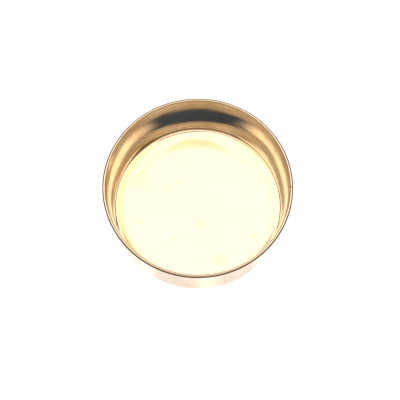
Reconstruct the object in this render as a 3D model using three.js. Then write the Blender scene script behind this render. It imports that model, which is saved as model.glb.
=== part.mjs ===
// A small open round cup of gold-toned sheet, sized for 22.05 mm coins.
// It is built up from a flat disc and a rolled, slightly flared strip, joined with solder.
// Millimetres, +Z up. The origin is the centre of the underside.

import * as THREE from 'three';

// Driving dimensions
const COIN_DIAMETER = 22.05;
const COIN_CLEARANCE = 0.125;
const SHEET_THICKNESS = 0.41;
const INNER_DEPTH = 8.1;
const WALL_LEAN = THREE.MathUtils.degToRad(4.9);
const RIM_ROUNDING = 0.1;
const FOOT_BEVEL = 0.08;
const FILLET_RADIUS = 0.28;
const SEAM_WIDTH = 0.12;
const SEAM_ANGLE = THREE.MathUtils.degToRad(-1.5);

// Fineness of the round stretches
const RING_STEPS = 96;
const ROUNDING_STEPS = 2;
const FILLET_STEPS = 3;

// Dimensions that follow from them
const FLOOR_RADIUS = COIN_DIAMETER / 2 + COIN_CLEARANCE;
const WALL_RUN = SHEET_THICKNESS / Math.cos(WALL_LEAN);
const FLOOR_Z = SHEET_THICKNESS;
const RIM_Z = FLOOR_Z + INNER_DEPTH;
const SEAM_HALF_ANGLE = SEAM_WIDTH / 2 / FLOOR_RADIUS;
const QUARTER_TURN = Math.PI / 2;
const FULL_TURN = 2 * Math.PI;

function innerRadiusAt(z) {
  return FLOOR_RADIUS + (z - FLOOR_Z) * Math.tan(WALL_LEAN);
}

function outerRadiusAt(z) {
  return innerRadiusAt(z) + WALL_RUN;
}

function goldMaterial(color, roughness) {
  return new THREE.MeshStandardMaterial({ color, roughness, metalness: 1 });
}

function namedMesh(name, geometry, material) {
  const mesh = new THREE.Mesh(geometry, material);
  mesh.name = name;
  return mesh;
}

// Points of an arc in the (radius, height) plane, both ends included.
function profileArc(centreRadius, centreZ, arcRadius, startAngle, endAngle, steps) {
  const curve = new THREE.EllipseCurve(
    centreRadius, centreZ, arcRadius, arcRadius, startAngle, endAngle, endAngle < startAngle,
  );
  return curve.getPoints(steps);
}

// Angles of the strip's stations: from one side of its butt seam round to the other.
function stripAngles() {
  const start = SEAM_ANGLE + SEAM_HALF_ANGLE;
  const sweep = FULL_TURN - 2 * SEAM_HALF_ANGLE;
  return Array.from({ length: RING_STEPS + 1 }, (_, step) => start + (sweep * step) / RING_STEPS);
}

function stationPositions(profile, angles) {
  const positions = [];
  for (const angle of angles) {
    for (const corner of profile) {
      positions.push(corner.x * Math.cos(angle), corner.x * Math.sin(angle), corner.y);
    }
  }
  return positions;
}

// Two triangles for each edge of the profile, between one station and the next.
function spanTriangles(here, next, cornerCount) {
  const triangles = [];
  for (let corner = 0; corner < cornerCount; corner++) {
    const following = (corner + 1) % cornerCount;
    triangles.push(here + corner, next + corner, next + following);
    triangles.push(here + corner, next + following, here + following);
  }
  return triangles;
}

// Flat ends that close an open ring at its first and last station.
function endTriangles(profile, lastStation) {
  const triangles = [];
  for (const [a, b, c] of THREE.ShapeUtils.triangulateShape(profile, [])) {
    triangles.push(a, b, c);
    triangles.push(lastStation + a, lastStation + c, lastStation + b);
  }
  return triangles;
}

// Sweeps a closed counter-clockwise (radius, height) profile about +Z through the given stations.
function sweepRing(profile, angles, isFullRing) {
  const cornerCount = profile.length;
  const triangles = [];
  for (let station = 0; station + 1 < angles.length; station++) {
    triangles.push(...spanTriangles(station * cornerCount, (station + 1) * cornerCount, cornerCount));
  }
  const lastStation = (angles.length - 1) * cornerCount;
  if (isFullRing) {
    triangles.push(...spanTriangles(lastStation, 0, cornerCount));
  } else {
    triangles.push(...endTriangles(profile, lastStation));
  }
  const geometry = new THREE.BufferGeometry();
  geometry.setAttribute('position', new THREE.Float32BufferAttribute(stationPositions(profile, angles), 3));
  geometry.setIndex(triangles);
  geometry.computeVertexNormals();
  return geometry;
}

// Section of the standing strip: flared, flat at the foot, both edges of the rim rounded.
function stripProfile() {
  const shoulderZ = RIM_Z - RIM_ROUNDING;
  const outerCentre = outerRadiusAt(shoulderZ) - RIM_ROUNDING;
  const innerCentre = innerRadiusAt(shoulderZ) + RIM_ROUNDING;
  return [
    new THREE.Vector2(innerRadiusAt(FLOOR_Z), FLOOR_Z),
    new THREE.Vector2(outerRadiusAt(FLOOR_Z), FLOOR_Z),
    ...profileArc(outerCentre, shoulderZ, RIM_ROUNDING, 0, QUARTER_TURN, ROUNDING_STEPS),
    ...profileArc(innerCentre, shoulderZ, RIM_ROUNDING, QUARTER_TURN, Math.PI, ROUNDING_STEPS),
  ];
}

// Flat disc under the strip, its edge in line with the flared wall and its lower corner bevelled.
function basePlate() {
  const profile = [
    new THREE.Vector2(0, 0),
    new THREE.Vector2(outerRadiusAt(FOOT_BEVEL) - FOOT_BEVEL, 0),
    new THREE.Vector2(outerRadiusAt(FOOT_BEVEL), FOOT_BEVEL),
    new THREE.Vector2(outerRadiusAt(FLOOR_Z), FLOOR_Z),
    new THREE.Vector2(0, FLOOR_Z),
  ];
  const geometry = new THREE.LatheGeometry(profile, RING_STEPS);
  geometry.rotateX(QUARTER_TURN);
  return namedMesh('base_plate', geometry, goldMaterial(0xf2dca6, 0.34));
}

// Strip rolled into a ring, its two ends facing each other across the seam.
function wallBand() {
  const geometry = sweepRing(stripProfile(), stripAngles(), false);
  return namedMesh('wall_band', geometry, goldMaterial(0xe6c078, 0.2));
}

// Solder that fills the butt seam of the strip from the foot to the rim.
function wallSeamSolder() {
  const angles = [SEAM_ANGLE - SEAM_HALF_ANGLE, SEAM_ANGLE + SEAM_HALF_ANGLE];
  const geometry = sweepRing(stripProfile(), angles, false);
  return namedMesh('wall_seam_solder', geometry, goldMaterial(0xd9b77c, 0.38));
}

// Concave solder fillet in the inside corner, tangent to the disc and to the flared strip.
function floorSolderFillet() {
  const tangentLength = FILLET_RADIUS / Math.tan((QUARTER_TURN + WALL_LEAN) / 2);
  const arcCentre = FLOOR_RADIUS - tangentLength;
  const arcZ = FLOOR_Z + FILLET_RADIUS;
  const profile = [
    new THREE.Vector2(FLOOR_RADIUS, FLOOR_Z),
    ...profileArc(arcCentre, arcZ, FILLET_RADIUS, -WALL_LEAN, -QUARTER_TURN, FILLET_STEPS),
  ];
  const geometry = sweepRing(profile, stripAngles(), true);
  return namedMesh('floor_solder_fillet', geometry, goldMaterial(0xd9b77c, 0.3));
}

function coinCup() {
  const cup = new THREE.Group();
  cup.add(basePlate(), wallBand(), wallSeamSolder(), floorSolderFillet());
  return cup;
}

export default coinCup();
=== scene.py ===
import math

import bpy
import numpy as np
from mathutils import Matrix, Vector


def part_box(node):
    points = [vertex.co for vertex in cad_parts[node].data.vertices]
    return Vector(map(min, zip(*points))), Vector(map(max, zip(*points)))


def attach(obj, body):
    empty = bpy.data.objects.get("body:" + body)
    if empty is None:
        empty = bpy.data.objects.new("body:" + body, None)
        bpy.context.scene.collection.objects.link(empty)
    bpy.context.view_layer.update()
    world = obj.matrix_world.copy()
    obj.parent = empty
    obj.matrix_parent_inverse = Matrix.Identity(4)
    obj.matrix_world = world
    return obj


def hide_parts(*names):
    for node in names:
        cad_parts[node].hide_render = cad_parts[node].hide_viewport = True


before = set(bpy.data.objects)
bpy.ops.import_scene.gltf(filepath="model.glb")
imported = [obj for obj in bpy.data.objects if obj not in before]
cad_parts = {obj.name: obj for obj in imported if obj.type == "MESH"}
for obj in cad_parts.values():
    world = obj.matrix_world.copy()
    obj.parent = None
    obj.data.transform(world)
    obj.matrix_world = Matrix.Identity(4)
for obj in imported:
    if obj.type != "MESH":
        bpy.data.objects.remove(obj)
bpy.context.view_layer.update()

MM = 0.001
FULL_TURN = 2 * math.pi

# ---- sizes, read from the frame -----------------------------------------------------------

plate_low, plate_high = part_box("base_plate")
wall_low, wall_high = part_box("wall_band")
seam_low, seam_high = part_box("wall_seam_solder")
fillet_low, fillet_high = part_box("floor_solder_fillet")

SHEET = plate_high.z
FLOOR_Z = plate_high.z
RIM_Z = wall_high.z
DEPTH = RIM_Z - FLOOR_Z
FOOT_RADIUS = plate_high.x
RIM_RADIUS = wall_high.x
FLOOR_RADIUS = fillet_high.x
SEAM_ANGLE = math.atan2((seam_low.y + seam_high.y) / 2, (seam_low.x + seam_high.x) / 2)
SEAM_WIDTH = 0.12 * MM
SEAM_HALF_ANGLE = SEAM_WIDTH / 2 / FLOOR_RADIUS
SEAM_PIT = 0.14 * MM

# Directions round the cup, in degrees from +X
BACK = 90
FRONT = -90

# The sheet's edges: the outer one of the rim is filed off at a slant, the inner one only eased
RIM_OUTER_ROUNDING = 0.18 * MM
RIM_INNER_ROUNDING = 0.09 * MM
FILED_POWER = 1.25
FOOT_BEVEL = 0.08 * MM

# The wall stands almost upright on the disc and flares more and more towards the rim
FOOT_SLOPE = math.tan(math.radians(1.7))
FLARE_POWER = 3.8
MEAN_SLOPE = (RIM_RADIUS - FOOT_RADIUS) / DEPTH
FLARE_SLOPE = (MEAN_SLOPE - FOOT_SLOPE) * (FLARE_POWER + 1)

# The solder: a tight corner, and a thin tail that has run out over the disc
CORNER_RADIUS = 0.07 * MM
TAIL_WIDTH = 1.35 * MM
TAIL_LOBE = 1.3 * MM
TAIL_SLOPE = math.tan(math.radians(11.5))
TAIL_SINK = 0.006 * MM
RIDGE_HEIGHT = 0.024 * MM
RIDGE_PLACE = 0.36 * MM
RIDGE_WIDTH = 0.06 * MM

# Where the two lobes of the tail are, in degrees from +X
RIGHT_LOBE = 53
LEFT_LOBE = 130

# How far the solder reaches into the disc and the wall, so that no gap shows
SOLDER_OVERLAP = 0.02 * MM

# Fineness of the solder's section, and of the sums that give its height
CORNER_STEPS = 12
TAIL_STEPS = 56
TAIL_SAMPLES = 60

# Small shallow dents
WALL_DENTS = 70
FLOOR_DENTS = 26

# The one nick inside the wall: degrees round from +X, and distance below the rim
NICK_ANGLE = -13.0
NICK_DEPTH = 3.0 * MM
NICK_RECESS = 0.05 * MM
NICK_LENGTH = 0.30 * MM
NICK_WIDTH = 0.20 * MM
NICK_SLANT = 0.3

# Dull scuffed patches inside the wall: degrees round from +X, millimetres below the rim, reach
SCUFFS = ((37, 1.0, 1.5), (28, 1.5, 1.0), (134, 3.0, 1.9), (140, 1.6, 1.2), (62, 4.6, 1.6), (105, 5.6, 1.4))

# Painted reflections on the disc, faint yellow spots: x, y and reach in millimetres
REFLECTION_SPOTS = ((-8.4, 4.6, 3.4), (-4.2, 2.4, 0.9), (-7.8, -2.3, 0.6), (0.5, -2.6, 0.9), (3.0, -7.5, 1.2),
          (7.5, -4.4, 0.6), (-3.4, -4.6, 0.5), (-2.6, 3.4, 0.7))

# The view, in rim radii from the centre of the rim
VIEW_ELEVATION = math.radians(70.86)
VIEW_DISTANCE = 9.36
VIEW_SIDEWAYS = 0.023
VIEW_UPWARDS = 0.160
SENSOR = 36.0
LENS = 81.0

# Colours of the disc, the wall and the solder
FLOOR_PALE = (0.95, 0.757, 0.53)
FLOOR_DEEP = (0.94, 0.73, 0.48)
# Yellow tint of the painted reflection spots on the disc
FLOOR_REFLECTION_TINT = (0.95, 0.76, 0.41)
WALL_PALE = (0.98, 0.80, 0.57)
WALL_DEEP = (0.91, 0.67, 0.41)
WALL_MOTTLE = (0.86, 0.64, 0.42)
WALL_SCUFF = (0.86, 0.60, 0.42)
# Brown painted dark reflections on the rim's outer and inner edges
OUTER_EDGE_PAINTED_REFLECTION = (0.82, 0.42, 0.20)
INNER_EDGE_PAINTED_REFLECTION = (0.36, 0.23, 0.12)
# Painted shade in the nick
NICK_PAINTED_SHADE = (0.20, 0.11, 0.06)
SOLDER_PALE = (0.95, 0.757, 0.53)
SOLDER_DEEP = (0.945, 0.742, 0.50)
SOLDER_ORANGE = (0.93, 0.62, 0.29)
# Darker colour of the solder in the pit at the rim
SOLDER_DARK_AT_RIM = (0.30, 0.13, 0.08)

# Brightness of the room and of the table that the cup stands on
CEILING = 1.58
PANEL = 1.3
WALLS = 0.64
LOW_WALLS = 0.16
SCREEN = (0.042, 0.08, 0.18)
FLOOR_GLOW = 1.12

# Where the parts of the room begin and end, in degrees from straight up
CEILING_TILT = -7
CEILING_EDGE = (35.1, 37.2)
WALLS_BRIGHTEN = (42, 57)
LOW_WALLS_BEGIN = (50, 56)
SCREEN_TOP = (20, 24)
SCREEN_FOOT = (38.6, 40.2)
CEILING_CUT_OFF = (35, 37)

# Half the width of the screen, in degrees round from -Y
SCREEN_SIDE = (42, 78)

# The side panel: its direction, and its edge in degrees from there
PANEL_DIRECTION = (0.70, 0.23, 0.67)
PANEL_EDGE = (7, 10)

# Distances from the axis at which the table's glow fades, and up to which it is patchy
GLOW_FADES = (14 * MM, 50 * MM)
GLOW_PATCHES = (13.5 * MM, 16.5 * MM)
TABLE_HALF_WIDTH = 2.0


# ---- meshes -------------------------------------------------------------------------------

def make_object(name, vertices, faces, material):
    mesh = bpy.data.meshes.new(name)
    mesh.from_pydata([tuple(v) for v in vertices], [], faces)
    mesh.validate()
    mesh.polygons.foreach_set("use_smooth", [True] * len(mesh.polygons))
    mesh.set_sharp_from_angle(angle=math.radians(35))
    mesh.materials.append(material)
    piece = bpy.data.objects.new(name, mesh)
    bpy.context.scene.collection.objects.link(piece)
    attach(piece, "root")
    return piece


def arc(centre, radius, start, end, steps):
    """Points of an arc in the (radius, height) plane, angles in degrees, both ends included."""
    turns = np.radians(np.linspace(start, end, steps + 1))
    return [(centre[0] + radius * math.cos(t), centre[1] + radius * math.sin(t)) for t in turns]


def ring_faces(stations, corners, full):
    """The four-cornered faces between each station of a swept profile and the next."""
    faces = []
    for station in range(stations if full else stations - 1):
        here, there = station * corners, (station + 1) % stations * corners
        for corner in range(corners):
            following = (corner + 1) % corners
            faces.append((here + corner, there + corner, there + following, here + following))
    return faces


def sweep(profile, angles, shape, full):
    """A closed profile swept round +Z. shape(radius, height, angle) returns the moved radius and height."""
    radius, height = np.array(profile).T
    grid_radius, grid_angle = np.meshgrid(radius, angles)
    grid_height = np.meshgrid(height, angles)[0]
    grid_radius, grid_height = shape(grid_radius, grid_height, grid_angle)
    vertices = np.stack([
        grid_radius * np.cos(grid_angle), grid_radius * np.sin(grid_angle), grid_height,
    ], -1).reshape(-1, 3)
    corners, stations = len(profile), len(angles)
    faces = ring_faces(stations, corners, full)
    if not full:
        last = (stations - 1) * corners
        faces.append(tuple(range(corners)))
        faces.append(tuple(last + corner for corner in reversed(range(corners))))
    return vertices, faces


def waves(angle, seed, orders, amplitude):
    """A smooth closed curve round the ring, made of a few seeded harmonics."""
    draw = np.random.default_rng(seed)
    total = np.zeros_like(angle)
    for order in orders:
        height = draw.uniform(0.4, 1.0) / math.sqrt(order)
        total += height * np.cos(order * angle + draw.uniform(0, FULL_TURN))
    return amplitude * total / math.sqrt(len(orders))


def filed_edge(centre, size, steps):
    """A filed outer edge: slanted, with both of its own edges rounded over."""
    points = []
    for turn in np.linspace(0, math.pi / 2, steps + 1):
        across = max(math.cos(turn), 0.0) ** (2 / FILED_POWER)
        above = max(math.sin(turn), 0.0) ** (2 / FILED_POWER)
        points.append((centre[0] + size * across, centre[1] + size * above))
    return points


def turn_from(angle, centre):
    """How far an angle is from the centre angle (degrees), the shorter way round, in radians."""
    return np.angle(np.exp(1j * (angle - math.radians(centre))))


def bump_at(angle, centre, half_width):
    """A bell curve round the ring: 1 at the centre angle, 1/e at half_width from it, both in degrees."""
    return np.exp(-(np.degrees(turn_from(angle, centre)) / half_width) ** 2)


def wall_slope(rise):
    return FOOT_SLOPE + FLARE_SLOPE * np.clip(rise, 0, 1) ** FLARE_POWER


def outer_radius(height):
    """Outer radius of the wall at a height above the disc."""
    rise = np.clip((height - FLOOR_Z) / DEPTH, 0, 1)
    flare = FLARE_SLOPE * rise ** (FLARE_POWER + 1) / (FLARE_POWER + 1)
    return FOOT_RADIUS + DEPTH * (FOOT_SLOPE * rise + flare)


def inner_radius(height):
    slope = wall_slope((height - FLOOR_Z) / DEPTH)
    return outer_radius(height) - SHEET * np.sqrt(1 + slope ** 2)


def wall_dents(height, angle):
    """Shallow dents in the sheet, as a change of radius."""
    total = np.zeros_like(height)
    draw = np.random.default_rng(21)
    for _ in range(WALL_DENTS):
        turn, level = draw.uniform(0, FULL_TURN), FLOOR_Z + draw.uniform(0.12, 0.9) * DEPTH
        size, depth = draw.uniform(0.5, 1.6) * MM, draw.uniform(-0.006, 0.006)
        away = np.angle(np.exp(1j * (angle - turn))) * FLOOR_RADIUS
        total += depth * size * np.exp(-(away ** 2 + (height - level) ** 2) / size ** 2)
    return total


def nick(height, angle):
    """A short slanting nick on the inner face, as a change of radius."""
    away = turn_from(angle, NICK_ANGLE) * FLOOR_RADIUS
    below = RIM_Z - NICK_DEPTH - height - NICK_SLANT * away
    return NICK_RECESS * np.exp(-(away / NICK_LENGTH) ** 2 - (below / NICK_WIDTH) ** 2)


def widen_filed_edge(radius, height, angle):
    """The filed slant of the rim is wider on the -Y side."""
    wider = 1 + 0.42 * bump_at(angle, FRONT, 45)
    tiny = 0.001 * MM
    edge_height = RIM_Z - RIM_OUTER_ROUNDING
    edge_radius = outer_radius(edge_height)
    filed = (height > edge_height - tiny) & (radius > edge_radius - RIM_OUTER_ROUNDING - tiny)
    radius = np.where(filed, edge_radius - wider * (edge_radius - radius), radius)
    return radius, np.where(filed, RIM_Z - wider * (RIM_Z - height), height)


def wall_shape(radius, height, angle):
    """Slight unevenness of the rolled strip, growing from the soldered foot to the free rim."""
    radius, height = widen_filed_edge(radius, height, angle)
    rise = np.clip((height - FLOOR_Z) / DEPTH, 0, 1)
    radius = radius + waves(angle, 3, (2, 3, 5), 0.03 * MM) * rise ** 2
    radius = radius + waves(angle + 2.5 * rise, 4, (4, 7, 9, 13), 0.012 * MM) * np.sin(math.pi * rise)
    inner_face = radius < outer_radius(height) - SHEET / 2
    radius = radius + wall_dents(height, angle) + inner_face * nick(height, angle)
    near_rim = np.clip(1 - (RIM_Z - height) / (0.5 * MM), 0, 1)
    height = height + (waves(angle, 5, (3, 5, 8, 14, 23), 0.02 * MM) - 0.02 * MM) * near_rim
    radius = radius + (waves(angle, 6, (11, 19, 31, 47), 0.012 * MM) - 0.015 * MM) * near_rim
    return radius, height


def wall_profile():
    outer_heights = np.linspace(FLOOR_Z, RIM_Z - RIM_OUTER_ROUNDING, 40)[:-1]
    outer_edge = RIM_Z - RIM_OUTER_ROUNDING
    inner_edge = RIM_Z - RIM_INNER_ROUNDING
    inner_heights = np.linspace(inner_edge, FLOOR_Z, 56)[1:]
    return (
        [(outer_radius(z), z) for z in outer_heights]
        + filed_edge((outer_radius(outer_edge) - RIM_OUTER_ROUNDING, outer_edge), RIM_OUTER_ROUNDING, 12)
        + arc((inner_radius(inner_edge) + RIM_INNER_ROUNDING, inner_edge), RIM_INNER_ROUNDING, 90, 180, 8)
        + [(inner_radius(z), z) for z in inner_heights]
    )


def make_wall(material):
    start = SEAM_ANGLE + SEAM_HALF_ANGLE
    angles = np.linspace(start, start + FULL_TURN - 2 * SEAM_HALF_ANGLE, 900)
    vertices, faces = sweep(wall_profile(), angles, wall_shape, False)
    piece = make_object("wall", vertices, faces, material)
    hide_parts("wall_band")
    return piece


def seam_shape(radius, height, angle):
    """The solder stops short of the rim and leaves a small pit there."""
    radius, height = wall_shape(radius, height, angle)
    return radius, height - SEAM_PIT * np.clip(1 - (RIM_Z - height) / (0.25 * MM), 0, 1)


def make_seam(material):
    angles = np.linspace(SEAM_ANGLE - SEAM_HALF_ANGLE, SEAM_ANGLE + SEAM_HALF_ANGLE, 5)
    vertices, faces = sweep(wall_profile(), angles, seam_shape, False)
    piece = make_object("seam", vertices, faces, material)
    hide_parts("wall_seam_solder")
    return piece


def tail_width(angle):
    """Two lobes on the +Y side, where more solder has run out, and never quite even."""
    lobes = bump_at(angle, RIGHT_LOBE, 25) + bump_at(angle, LEFT_LOBE, 25) + 0.28 * bump_at(angle, BACK, 20)
    return (TAIL_WIDTH + TAIL_LOBE * lobes) * (1 + waves(angle, 8, (3, 5, 7, 12), 0.09))


def tail_slope(angle):
    return TAIL_SLOPE * (1 + waves(angle, 12, (3, 4, 7, 11, 16), 0.12))


def corner_radius(angle):
    """Solder has gathered in the corner on the +Y side, most of all at the left lobe."""
    gathered = 2.2 * bump_at(angle, BACK, 36) + 4.0 * bump_at(angle, LEFT_LOBE, 13)
    return CORNER_RADIUS * (1 + gathered + waves(angle, 9, (3, 6, 10, 17, 29), 0.25))


def tail_section(angle, steps):
    """Heights along the tail, from the wall to its edge, for a slope of 1 at the steepest."""
    hollow = 0.8 + 1.2 * bump_at(angle, 47, 22)
    across = np.linspace(0, 1, steps + 1)
    slope = across ** hollow * (1 - across) ** 2
    slope = slope / slope.max()
    fall = np.concatenate([[0], np.cumsum((slope[1:] + slope[:-1]) / 2)]) / steps
    return fall[-1] - fall


def ridge_height(angle):
    """A low ridge runs along the corner on the +Y side, where the solder set in two passes."""
    strength = bump_at(angle, 100, 48) * (1 + waves(angle, 14, (5, 9, 17), 0.5))
    return RIDGE_HEIGHT * np.clip(strength, 0, 1)


def ridge_place(angle):
    """The ridge's distance from the wall."""
    return RIDGE_PLACE * (1 + waves(angle, 15, (4, 7, 13, 21), 0.25))


def fillet_section(angle):
    """The solder's closed outline at one angle, as points (radius, height)."""
    width = float(tail_width(angle))
    corner = float(corner_radius(angle))
    ridge_top, ridge_at = float(ridge_height(angle)), float(ridge_place(angle))
    heights = float(tail_slope(angle)) * width * tail_section(angle, TAIL_SAMPLES)
    places = np.linspace(0, 1, TAIL_SAMPLES + 1)
    top = FLOOR_Z + heights[0] + corner
    wall_radius = float(inner_radius(top))
    outline = [
        (wall_radius + SOLDER_OVERLAP, FLOOR_Z - SOLDER_OVERLAP),
        (wall_radius + SOLDER_OVERLAP, top),
    ]
    for step in range(CORNER_STEPS + TAIL_STEPS + 1):
        if step <= CORNER_STEPS:
            turn = math.radians(90 * step / CORNER_STEPS)
            inwards = corner * (1 - math.cos(turn))
            above = corner * (1 - math.sin(turn))
        else:
            inwards = corner + (width - corner) * ((step - CORNER_STEPS) / TAIL_STEPS) ** 1.6
            above = 0
        across = inwards / width
        tail = float(np.interp(across, places, heights)) - TAIL_SINK * across ** 6
        tail += ridge_top * math.exp(-((inwards - ridge_at) / RIDGE_WIDTH) ** 2)
        outline.append((wall_radius - inwards, FLOOR_Z + tail + above))
    outline.append((wall_radius - width, FLOOR_Z - SOLDER_OVERLAP))
    return outline


def make_fillet(material):
    """Solder that fills the inside corner, concave, with a thin tail out over the disc."""
    angles = np.linspace(0, FULL_TURN, 720, endpoint=False)
    vertices = []
    for angle in angles:
        outline = fillet_section(angle)
        vertices += [(r * math.cos(angle), r * math.sin(angle), z) for r, z in outline]
    faces = ring_faces(len(angles), len(outline), True)
    piece = make_object("fillet", vertices, faces, material)
    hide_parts("floor_solder_fillet")
    return piece


def floor_height(radius, angle):
    """The disc's top face is flat but for a few shallow dents."""
    x, y = radius * np.cos(angle), radius * np.sin(angle)
    total = np.zeros_like(x)
    draw = np.random.default_rng(11)
    for _ in range(FLOOR_DENTS):
        reach, turn = FLOOR_RADIUS * math.sqrt(draw.uniform(0, 0.8)), draw.uniform(0, FULL_TURN)
        size = draw.uniform(0.6, 2.4) * MM
        depth = draw.uniform(0.002, 0.006) * size
        across, along = x - reach * math.cos(turn), y - reach * math.sin(turn)
        total -= depth * np.exp(-(across ** 2 + along ** 2) / size ** 2)
    return FLOOR_Z + total


def make_plate(material):
    rings, spokes = 110, 360
    edge = FOOT_RADIUS - FOOT_BEVEL - 0.03 * MM
    profile = [(edge * (k + 1) / rings, 0) for k in range(rings)]
    profile += arc((edge, FOOT_BEVEL), FOOT_BEVEL, -90, 0, 6)[1:]
    profile += [(FOOT_RADIUS, FLOOR_Z - 0.01 * MM)]
    profile += [(FOOT_RADIUS * (rings - k) / rings, FLOOR_Z) for k in range(rings)]
    angles = np.linspace(0, FULL_TURN, spokes, endpoint=False)

    def shape(radius, height, angle):
        top = height >= FLOOR_Z
        return radius, np.where(top & (radius < FLOOR_RADIUS), floor_height(radius, angle), height)

    vertices, faces = sweep(profile, angles, shape, True)
    corners = len(profile)
    bottom, top = len(vertices), len(vertices) + 1
    middle = float(floor_height(np.array(0.0), np.array(0.0)))
    vertices = np.vstack([vertices, [[0, 0, 0], [0, 0, middle]]])
    kept = [f for f in faces if not {f[0] % corners, f[2] % corners} == {corners - 1, 0}]
    for spoke in range(spokes):
        here, there = spoke * corners, (spoke + 1) % spokes * corners
        kept.append((bottom, there, here))
        kept.append((top, here + corners - 1, there + corners - 1))
    piece = make_object("plate", vertices, kept, material)
    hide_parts("base_plate")
    return piece


# ---- shader nodes -------------------------------------------------------------------------

def add(tree, kind, **settings):
    node = tree.nodes.new(kind)
    for name, value in settings.items():
        setattr(node, name, value)
    return node


def plug(tree, socket, value):
    """Links value to the socket, or sets it there when it is a plain number or colour."""
    if isinstance(value, bpy.types.NodeSocket):
        tree.links.new(value, socket)
    else:
        socket.default_value = value


def maths(tree, operation, *values):
    node = add(tree, "ShaderNodeMath", operation=operation)
    for socket, value in zip(node.inputs, values):
        plug(tree, socket, value)
    return node.outputs[0]


def step_up(tree, value, low, high):
    """0 below low, 1 above high, smooth between."""
    node = add(tree, "ShaderNodeMapRange", interpolation_type="SMOOTHSTEP")
    plug(tree, node.inputs["Value"], value)
    plug(tree, node.inputs["From Min"], low)
    plug(tree, node.inputs["From Max"], high)
    return node.outputs["Result"]


def step_down(tree, value, low, high):
    """1 below low, 0 above high, smooth between."""
    return maths(tree, "SUBTRACT", 1.0, step_up(tree, value, low, high))


def product(tree, first, *others):
    for value in others:
        first = maths(tree, "MULTIPLY", first, value)
    return first


def distance_to(tree, place, point):
    node = add(tree, "ShaderNodeVectorMath", operation="DISTANCE")
    plug(tree, node.inputs[0], place)
    plug(tree, node.inputs[1], point)
    return node.outputs["Value"]


def dot(tree, first, second):
    node = add(tree, "ShaderNodeVectorMath", operation="DOT_PRODUCT")
    plug(tree, node.inputs[0], first)
    plug(tree, node.inputs[1], second)
    return node.outputs["Value"]


def separate(tree, vector):
    """The x, y and z of a vector."""
    node = add(tree, "ShaderNodeSeparateXYZ")
    plug(tree, node.inputs[0], vector)
    return list(node.outputs)


def scale_to(tree, value, low, high):
    """A 0 to 1 value stretched to low to high."""
    node = add(tree, "ShaderNodeMapRange")
    plug(tree, node.inputs["Value"], value)
    plug(tree, node.inputs["To Min"], low)
    plug(tree, node.inputs["To Max"], high)
    return node.outputs["Result"]


def mix_colour(tree, factor, first, second):
    node = add(tree, "ShaderNodeMix", data_type="RGBA")
    plug(tree, node.inputs[0], factor)
    plug(tree, node.inputs[6], first if isinstance(first, bpy.types.NodeSocket) else (*first, 1))
    plug(tree, node.inputs[7], second if isinstance(second, bpy.types.NodeSocket) else (*second, 1))
    return node.outputs[2]


def stretched(tree, vector, sizes):
    node = add(tree, "ShaderNodeMapping")
    plug(tree, node.inputs["Vector"], vector)
    node.inputs["Scale"].default_value = sizes
    return node.outputs["Vector"]


def noise(tree, vector, scale, detail=3.0, roughness=0.5):
    node = add(tree, "ShaderNodeTexNoise")
    plug(tree, node.inputs["Vector"], vector)
    node.inputs["Scale"].default_value = scale
    node.inputs["Detail"].default_value = detail
    node.inputs["Roughness"].default_value = roughness
    return node.outputs["Fac"]


def bump(tree, height, distance, normal=None):
    node = add(tree, "ShaderNodeBump")
    plug(tree, node.inputs["Height"], height)
    node.inputs["Distance"].default_value = distance
    if normal is not None:
        plug(tree, node.inputs["Normal"], normal)
    return node.outputs["Normal"]


# ---- materials ----------------------------------------------------------------------------

def metal(name):
    material = bpy.data.materials.new(name)
    material.use_nodes = True
    tree = material.node_tree
    shader = tree.nodes["Principled BSDF"]
    shader.inputs["Metallic"].default_value = 1
    place = add(tree, "ShaderNodeTexCoord").outputs["Object"]
    return material, tree, shader, place


def axis_distance(tree, place):
    """Distance from the axis of the cup."""
    x, y, _ = separate(tree, place)
    return maths(tree, "SQRT", maths(tree, "ADD", product(tree, x, x), product(tree, y, y)))


def inner_face_point(turn, below):
    """The point on the wall's inner face at an angle (degrees round from +X) and a distance below the rim."""
    height = RIM_Z - below
    radius = float(inner_radius(height))
    angle = math.radians(turn)
    return radius * math.cos(angle), radius * math.sin(angle), height


def painted_reflection_spots(tree, place):
    """1 in the middle of each painted reflection spot on the disc, 0 away from them, with ragged edges."""
    ragged = noise(tree, place, 900, 3.0)
    total = 0.0
    for x, y, reach in REFLECTION_SPOTS:
        away = distance_to(tree, place, (x * MM, y * MM, FLOOR_Z))
        uneven = product(tree, away, scale_to(tree, ragged, 0.2, 2.2))
        inside = step_down(tree, uneven, 0.25 * reach * MM, 1.25 * reach * MM)
        total = maths(tree, "MAXIMUM", inside, total)
    return total


def scuffs(tree, place):
    """1 in the middle of each scuffed patch of the wall's inner face, broken up by fine scratches."""
    scratches = noise(tree, stretched(tree, place, (900, 900, 4200)), 1.0, 5.0, 0.7)
    total = 0.0
    for turn, below, reach in SCUFFS:
        away = distance_to(tree, place, inner_face_point(turn, below * MM))
        inside = step_down(tree, away, 0.2 * reach * MM, 1.3 * reach * MM)
        total = maths(tree, "MAXIMUM", inside, total)
    outwards = dot(tree, place, add(tree, "ShaderNodeTexCoord").outputs["Normal"])
    inner_face = step_up(tree, outwards, 0.002, -0.002)
    return product(tree, total, inner_face, step_up(tree, scratches, 0.36, 0.62))


def nick_painted_shade(tree, place):
    """Painted shade in the nick: 1 in the nick, 0 away from it."""
    away = distance_to(tree, place, inner_face_point(NICK_ANGLE, NICK_DEPTH))
    return step_down(tree, away, 0.20 * MM, 0.38 * MM)


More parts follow.
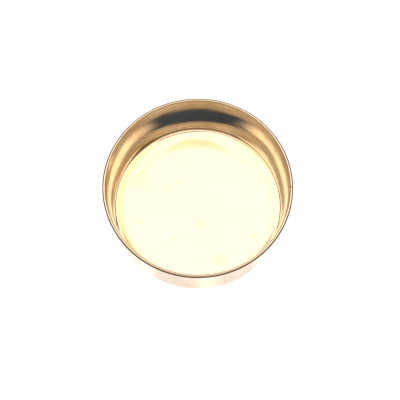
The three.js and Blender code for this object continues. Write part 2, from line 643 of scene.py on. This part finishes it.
def floor_gold():
    """Pale gold-tone sheet with a satin polish, clouded, with faint yellow painted reflection spots."""
    material, tree, shader, place = metal("floor_gold")
    cloud = noise(tree, place, 900, 4.0)
    colour = mix_colour(tree, scale_to(tree, cloud, 0.0, 0.3), FLOOR_PALE, FLOOR_DEEP)
    # Painted reflection spots, yellow, mixed into the disc's colour
    colour = mix_colour(tree, scale_to(tree, painted_reflection_spots(tree, place), 0.0, 0.7), colour, FLOOR_REFLECTION_TINT)
    plug(tree, shader.inputs["Base Color"], colour)
    plug(tree, shader.inputs["Roughness"], scale_to(tree, cloud, 0.08, 0.15))
    plug(tree, shader.inputs["Normal"], bump(tree, noise(tree, place, 3000, 3.0), 0.000002))
    return material


def edge_painted_reflections(tree, place):
    """Patchy brown painted dark reflections on the outer edge of the rim and, weaker towards +Y, on its inner
    edge.
    """
    _, y, height = separate(tree, place)
    radius = axis_distance(tree, place)
    patchy = noise(tree, place, 1500, 4.0, 0.6)
    high = step_up(tree, height, RIM_Z - 0.30 * MM, RIM_Z - 0.18 * MM)
    outside = step_up(tree, radius, RIM_RADIUS - 0.22 * MM, RIM_RADIUS - 0.14 * MM)
    inside = step_down(tree, radius, RIM_RADIUS - 0.39 * MM, RIM_RADIUS - 0.33 * MM)
    patches = product(tree, high, scale_to(tree, patchy, 0.45, 1.3))
    towards_back = scale_to(tree, step_up(tree, y, -4 * MM, 6 * MM), 1.0, 0.4)
    return product(tree, outside, patches), product(tree, inside, patches, towards_back)


def wall_gold():
    """Burnished gold-tone sheet: rolling lines round the wall, mottling, scuffs, painted dark reflections on
    the rim's edges and painted shade in the nick.
    """
    material, tree, shader, place = metal("wall_gold")
    lines = noise(tree, stretched(tree, place, (60, 60, 5000)), 1.0, 4.0, 0.6)
    cloud = noise(tree, place, 420, 5.0, 0.6)
    mottle = noise(tree, place, 3600, 3.0, 0.6)
    colour = mix_colour(tree, step_up(tree, cloud, 0.3, 0.7), WALL_PALE, WALL_DEEP)
    colour = mix_colour(tree, step_up(tree, mottle, 0.35, 0.75), colour, WALL_MOTTLE)
    scuffed = scuffs(tree, place)
    colour = mix_colour(tree, product(tree, scuffed, 0.6), colour, WALL_SCUFF)
    # Painted dark reflections on the rim's edges
    outer_edge_reflection, inner_edge_reflection = edge_painted_reflections(tree, place)
    colour = mix_colour(tree, outer_edge_reflection, colour, OUTER_EDGE_PAINTED_REFLECTION)
    colour = mix_colour(tree, inner_edge_reflection, colour, INNER_EDGE_PAINTED_REFLECTION)
    # Painted shade in the nick
    colour = mix_colour(tree, nick_painted_shade(tree, place), colour, NICK_PAINTED_SHADE)
    plug(tree, shader.inputs["Base Color"], colour)
    polish = scale_to(tree, cloud, 0.02, 0.07)
    plug(tree, shader.inputs["Roughness"], maths(tree, "ADD", polish, product(tree, scuffed, 0.30)))
    normal = bump(tree, lines, 0.0000015)
    plug(tree, shader.inputs["Normal"], bump(tree, mottle, 0.000003, normal))
    return material


def solder_gold():
    """Softly polished solder, more orange towards -X, and darker in the pit where the seam meets the rim."""
    material, tree, shader, place = metal("solder_gold")
    cloud = noise(tree, place, 900, 4.0)
    x, _, height = separate(tree, place)
    radius = axis_distance(tree, place)
    leftwards = step_up(tree, x, -2 * MM, -10 * MM)
    close = step_up(tree, radius, FLOOR_RADIUS - 1.3 * MM, FLOOR_RADIUS - 0.5 * MM)
    clear = step_down(tree, radius, FLOOR_RADIUS - 0.4 * MM, FLOOR_RADIUS - 0.2 * MM)
    orange = scale_to(tree, product(tree, leftwards, close, clear), 0.15, 0.9)
    colour = mix_colour(tree, cloud, SOLDER_PALE, SOLDER_DEEP)
    colour = mix_colour(tree, orange, colour, SOLDER_ORANGE)
    # Darker near the rim, in the pit at the top of the seam
    darker_at_rim = step_up(tree, height, RIM_Z - 0.45 * MM, RIM_Z - 0.25 * MM)
    colour = mix_colour(tree, darker_at_rim, colour, SOLDER_DARK_AT_RIM)
    plug(tree, shader.inputs["Base Color"], colour)
    plug(tree, shader.inputs["Roughness"], scale_to(tree, cloud, 0.08, 0.16))
    plug(tree, shader.inputs["Normal"], bump(tree, noise(tree, place, 2500, 3.0), 0.000003))
    return material


# ---- stage --------------------------------------------------------------------------------

def make_camera():
    forward = Vector((0, math.cos(VIEW_ELEVATION), -math.sin(VIEW_ELEVATION)))
    up = Vector((0, math.sin(VIEW_ELEVATION), math.cos(VIEW_ELEVATION)))
    right = Vector((1, 0, 0))
    data = bpy.data.cameras.new("camera")
    data.sensor_width = SENSOR
    data.lens = LENS
    data.clip_start = 0.001
    data.clip_end = 10
    camera = bpy.data.objects.new("camera", data)
    away = VIEW_SIDEWAYS * right - VIEW_UPWARDS * up - VIEW_DISTANCE * forward
    turn = Matrix((right, up, -forward)).transposed().to_4x4()
    camera.matrix_world = Matrix.Translation(Vector((0, 0, RIM_Z)) + RIM_RADIUS * away) @ turn
    bpy.context.scene.collection.objects.link(camera)
    bpy.context.scene.camera = camera


def table_glow(tree):
    """The table glows near the cup, in patches close to it, and the camera always sees it white."""
    place = add(tree, "ShaderNodeTexCoord").outputs["Object"]
    distance = distance_to(tree, place, (0, 0, 0))
    fading = step_down(tree, distance, *GLOW_FADES)
    patches = step_up(tree, noise(tree, place, 170, 2.0), 0.40, 0.62)
    close = step_down(tree, distance, *GLOW_PATCHES)
    dimming = product(tree, close, scale_to(tree, patches, 0.28, 0.0))
    kept = maths(tree, "SUBTRACT", 1.0, dimming)
    glow = scale_to(tree, product(tree, fading, kept), 0.0, FLOOR_GLOW)
    seen = add(tree, "ShaderNodeLightPath").outputs["Is Camera Ray"]
    return maths(tree, "MAXIMUM", glow, seen)


def make_floor():
    """A white light table."""
    material = bpy.data.materials.new("floor")
    material.use_nodes = True
    tree = material.node_tree
    shader = tree.nodes["Principled BSDF"]
    shader.inputs["Base Color"].default_value = (0.3, 0.3, 0.3, 1)
    shader.inputs["Roughness"].default_value = 0.8
    shader.inputs["Emission Color"].default_value = (1, 1, 1, 1)
    plug(tree, shader.inputs["Emission Strength"], table_glow(tree))
    half = TABLE_HALF_WIDTH
    mesh = bpy.data.meshes.new("floor")
    corners = [(-half, -half, 0), (half, -half, 0), (half, half, 0), (-half, half, 0)]
    mesh.from_pydata(corners, [], [(0, 1, 2, 3)])
    mesh.materials.append(material)
    floor = bpy.data.objects.new("floor", mesh)
    bpy.context.scene.collection.objects.link(floor)


def radians(pair):
    return [math.radians(angle) for angle in pair]


def cone(tree, direction, axis, edge):
    """1 close to the axis, 0 far from it, smooth between the two angles of the edge."""
    inner, outer = radians(edge)
    return step_up(tree, dot(tree, direction, axis), math.cos(outer), math.cos(inner))


def room_walls(tree, direction, polar, y):
    """Brightness of the walls: uneven, graded, and dark in their lower part."""
    turned = maths(tree, "ADD", polar, product(tree, y, 0.2))
    low = step_up(tree, turned, *radians(LOW_WALLS_BEGIN))
    uneven = scale_to(tree, noise(tree, direction, 3.5, 3.0), 0.62, 1.38)
    graded = scale_to(tree, step_up(tree, polar, *radians(WALLS_BRIGHTEN)), 0.78, 1.25)
    return product(tree, scale_to(tree, low, WALLS, LOW_WALLS), product(tree, uneven, graded))


def make_world():
    """A bright round ceiling, dimmer uneven walls, a small side panel, and a dark screen towards -Y."""
    world = bpy.data.worlds.new("world")
    bpy.context.scene.world = world
    world.use_nodes = True
    tree = world.node_tree
    direction = add(tree, "ShaderNodeTexCoord").outputs["Generated"]
    x, y, z = separate(tree, direction)
    polar = maths(tree, "ARCCOSINE", z)
    walls = room_walls(tree, direction, polar, y)
    panel = cone(tree, direction, Vector(PANEL_DIRECTION).normalized(), PANEL_EDGE)
    tilt = math.radians(CEILING_TILT)
    ceiling = cone(tree, direction, (0, math.sin(tilt), math.cos(tilt)), CEILING_EDGE)
    sideways = maths(tree, "ABSOLUTE", maths(tree, "ARCTAN2", x, product(tree, y, -1.0)))
    front = step_down(tree, sideways, *radians(SCREEN_SIDE))
    band = product(tree, step_up(tree, polar, *radians(SCREEN_TOP)),
                   step_down(tree, polar, *radians(SCREEN_FOOT)))
    screen = product(tree, band, front)
    cut_off = product(tree, front, step_up(tree, polar, *radians(CEILING_CUT_OFF)))
    ceiling = product(tree, ceiling, maths(tree, "SUBTRACT", 1.0, cut_off))
    combine = add(tree, "ShaderNodeCombineColor")
    for socket in combine.inputs:
        plug(tree, socket, walls)
    tone = mix_colour(tree, panel, combine.outputs[0], (PANEL, PANEL, PANEL))
    tone = mix_colour(tree, ceiling, tone, (CEILING, CEILING, CEILING))
    tone = mix_colour(tree, screen, tone, SCREEN)
    seen = add(tree, "ShaderNodeLightPath").outputs["Is Camera Ray"]
    tone = mix_colour(tree, seen, tone, (1, 1, 1))
    plug(tree, tree.nodes["Background"].inputs["Color"], tone)


make_plate(floor_gold())
make_wall(wall_gold())
make_seam(solder_gold())
make_fillet(solder_gold())
make_camera()
make_floor()
make_world()
bpy.context.scene.view_settings.view_transform = "Standard"
